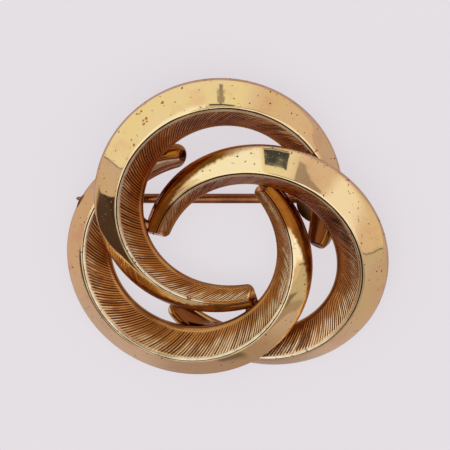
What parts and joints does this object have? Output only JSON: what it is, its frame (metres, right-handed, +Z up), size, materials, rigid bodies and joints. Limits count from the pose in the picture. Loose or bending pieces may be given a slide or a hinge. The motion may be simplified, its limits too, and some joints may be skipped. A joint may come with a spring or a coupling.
{
  "type": "swirl brooch",
  "caption": "Round swirl brooch of interlaced hollow crescent rings with grooved inner walls, soldered together, with a hinged pin and a hook catch on the back.",
  "frame": {"origin": "middle of the brooch's box, on the surface that it lies on", "axes": "+Z up from the back to the face, +Y towards the edge that is worn upwards, +X to the viewer's right when the face is seen that way up"},
  "size_m": [0.0386, 0.0374, 0.0084],
  "materials": {
    "gold_plate": "worn yellow gold plate on brass, polished outer faces, grooved satin inner walls",
    "pin_wire": "plain drawn wire, dull rose gold"
  },
  "bodies": {
    "brooch": {"swirl": "gold_plate", "hinge_rivet": "pin_wire"},
    "pin": {"pin_stem": "pin_wire"}
  },
  "joints": [
    {"name": "pin_swing", "type": "hinge", "parent": "brooch", "child": "pin", "pos_m": [0.01083, 0.00322, 0.00122], "axis": [0.0188, -0.9941, -0.107], "range_deg": [0, 110]}
  ]
}
